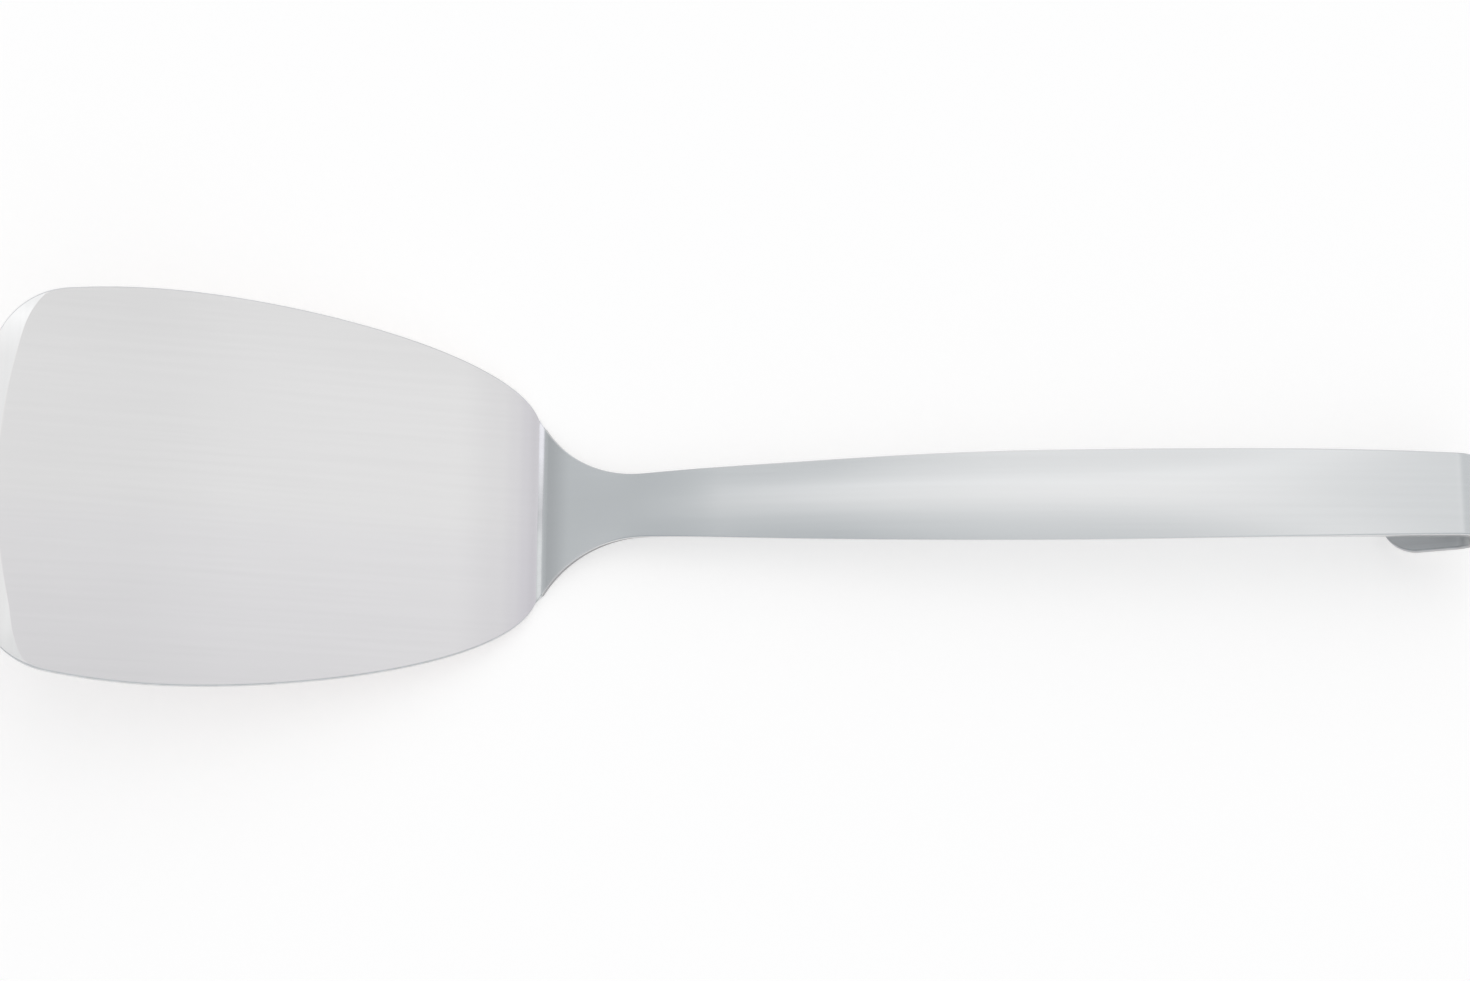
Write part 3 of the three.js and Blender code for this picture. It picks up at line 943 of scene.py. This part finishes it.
class SPATULA_OT_set_stage(Operator):
    """Set the table, the soft dome of light and the camera"""
    bl_idname = "spatula.set_stage"
    bl_label = "Set Stage"

    def execute(self, context):
        stage = context.scene.spatula.stage
        self.add_table(context, stage)
        self.add_dome(context, stage)
        self.add_lamp(context, stage)
        self.add_camera(context, stage)
        context.scene.view_settings.view_transform = "Standard"
        return {"FINISHED"}

    def add_table(self, context, stage):
        """A plain pale square. What the camera and the steel see of it is lifted towards white, and its
        own shading under that keeps the object's shadow."""
        ends = np.array([-TABLE_HALF, TABLE_HALF])
        x, y = np.meshgrid(ends, ends)
        corners = np.stack([x, y, np.full_like(x, -TABLE_DROP)], axis=-1).reshape(-1, 3)
        mesh = bpy.data.meshes.new("table")
        mesh.from_pydata(corners, [], [(0, 1, 3, 2)])
        material = bpy.data.materials.new("pale_table")
        material.use_nodes = True
        tree = material.node_tree
        shader = tree.nodes["Principled BSDF"]
        shader.inputs["Base Color"].default_value = (*stage.table, 1.0)
        shader.inputs["Roughness"].default_value = TABLE_ROUGHNESS
        shader.inputs["Specular IOR Level"].default_value = 0.0
        shader.inputs["Emission Color"].default_value = (*WHITE, 1.0)
        path = node(tree, "ShaderNodeLightPath")
        seen = path.outputs["Is Camera Ray"]
        for other in ("Is Glossy Ray", "Is Transmission Ray"):
            either = node(tree, "ShaderNodeMath", operation="MAXIMUM")
            tree.links.new(seen, either.inputs[0])
            tree.links.new(path.outputs[other], either.inputs[1])
            seen = either.outputs["Value"]
        glow = node(tree, "ShaderNodeMath", operation="MULTIPLY")
        glow.inputs[1].default_value = stage.table_glow
        tree.links.new(seen, glow.inputs[0])
        tree.links.new(glow.outputs["Value"], shader.inputs["Emission Strength"])
        mesh.materials.append(material)
        table = bpy.data.objects.new("table", mesh)
        context.scene.collection.objects.link(table)

    def add_dome(self, context, stage):
        """Soft light from all round, brightest overhead and a little behind the object: its fall-off across
        times its fall-off along, which fades out towards the two sides."""
        world = bpy.data.worlds.new("soft_dome")
        world.use_nodes = True
        tree = world.node_tree
        background = tree.nodes["Background"]
        background.inputs["Strength"].default_value = stage.light
        toward = node(tree, "ShaderNodeTexCoord")
        axes = node(tree, "ShaderNodeSeparateXYZ")
        tree.links.new(toward.outputs["Generated"], axes.inputs["Vector"])
        along = node(tree, "ShaderNodeMath", operation="ARCTAN2")
        tree.links.new(axes.outputs["X"], along.inputs[0])
        tree.links.new(axes.outputs["Z"], along.inputs[1])
        across = node(tree, "ShaderNodeMath", operation="ARCSINE")
        tree.links.new(axes.outputs["Y"], across.inputs[0])
        aside = node(tree, "ShaderNodeMath", operation="ABSOLUTE")
        tree.links.new(axes.outputs["Y"], aside.inputs[0])
        glow = multiplied(
            tree,
            self.fall_off(tree, across.outputs["Value"], DOME_ACROSS),
            self.fall_off(tree, along.outputs["Value"], DOME_ALONG),
            ranged(tree, aside.outputs["Value"], DOME_SIDES, (0.0, 1.0)),
        )
        tree.links.new(glow, background.inputs["Color"])
        context.scene.world = world

    def fall_off(self, tree, lean, levels):
        """Colour of the dome by the angle from overhead, from a quarter turn one way to the other."""
        stops = [
            (math.radians(degrees), [level * (1 + shift * (1 - level)) for shift in SHADE_TINT])
            for degrees, level in levels
        ]
        return toned(tree, lean, stops, "CARDINAL")

    def add_lamp(self, context, stage):
        """A long soft strip lamp behind the object, level with the handle. Its power is its brightness
        times its area times pi."""
        data = bpy.data.lights.new("strip_lamp", "AREA")
        data.shape = "RECTANGLE"
        data.size, data.size_y = LAMP_SIZE
        data.energy = stage.lamp * math.pi * math.prod(LAMP_SIZE)
        lamp = bpy.data.objects.new("strip_lamp", data)
        lamp.location = (0.0, LAMP_DISTANCE * math.sin(LAMP_LEAN), LAMP_DISTANCE * math.cos(LAMP_LEAN))
        lamp.rotation_euler = (-LAMP_LEAN, 0.0, 0.0)
        context.scene.collection.objects.link(lamp)

    def add_camera(self, context, stage):
        """Looks at the target from the elevation, turned about the upright."""
        data = bpy.data.cameras.new("camera")
        data.sensor_fit = "HORIZONTAL"
        data.sensor_width = FILM_WIDTH
        data.lens = FILM_WIDTH * FOCAL_PIXELS / IMAGE_WIDTH
        data.clip_start = CLIP_START
        camera = bpy.data.objects.new("camera", data)
        context.scene.collection.objects.link(camera)
        aside, ahead = stage.target
        ahead -= stage.distance * math.cos(stage.elevation)
        sine, cosine = math.sin(stage.turn), math.cos(stage.turn)
        camera.location = (
            aside * cosine - ahead * sine,
            aside * sine + ahead * cosine,
            stage.distance * math.sin(stage.elevation),
        )
        camera.rotation_euler = (math.pi / 2 - stage.elevation, 0.0, stage.turn)
        context.scene.camera = camera


# Sidebar and registration

MAKERS = (
    SPATULA_OT_make_blade,
    SPATULA_OT_make_weld,
    SPATULA_OT_make_handle,
    SPATULA_OT_set_stage,
)


class SPATULA_PT_sidebar(Panel):
    """Sizes, colours and the steps that build the spatula"""
    bl_label = "Stiff Spatula"
    bl_idname = "SPATULA_PT_sidebar"
    bl_space_type = "VIEW_3D"
    bl_region_type = "UI"
    bl_category = "Spatula"

    def draw(self, context):
        settings = context.scene.spatula
        for name in ("blade", "weld", "handle", "colours", "stage"):
            group = getattr(settings, name)
            box = self.layout.box()
            box.label(text=name.capitalize())
            for key in group.__annotations__:
                box.prop(group, key)
        for maker in MAKERS:
            self.layout.operator(maker.bl_idname)


CLASSES = (
    BladeSizes,
    WeldSizes,
    HandleSizes,
    SteelColours,
    StageSettings,
    SpatulaSettings,
    *MAKERS,
    SPATULA_PT_sidebar,
)


def register():
    for entry in CLASSES:
        bpy.utils.register_class(entry)
    bpy.types.Scene.spatula = PointerProperty(type=SpatulaSettings)


def unregister():
    del bpy.types.Scene.spatula
    for entry in reversed(CLASSES):
        bpy.utils.unregister_class(entry)


def main():
    register()
    bpy.ops.spatula.make_blade()
    bpy.ops.spatula.make_weld()
    bpy.ops.spatula.make_handle()
    bpy.ops.spatula.set_stage()


if __name__ == "__main__":
    main()
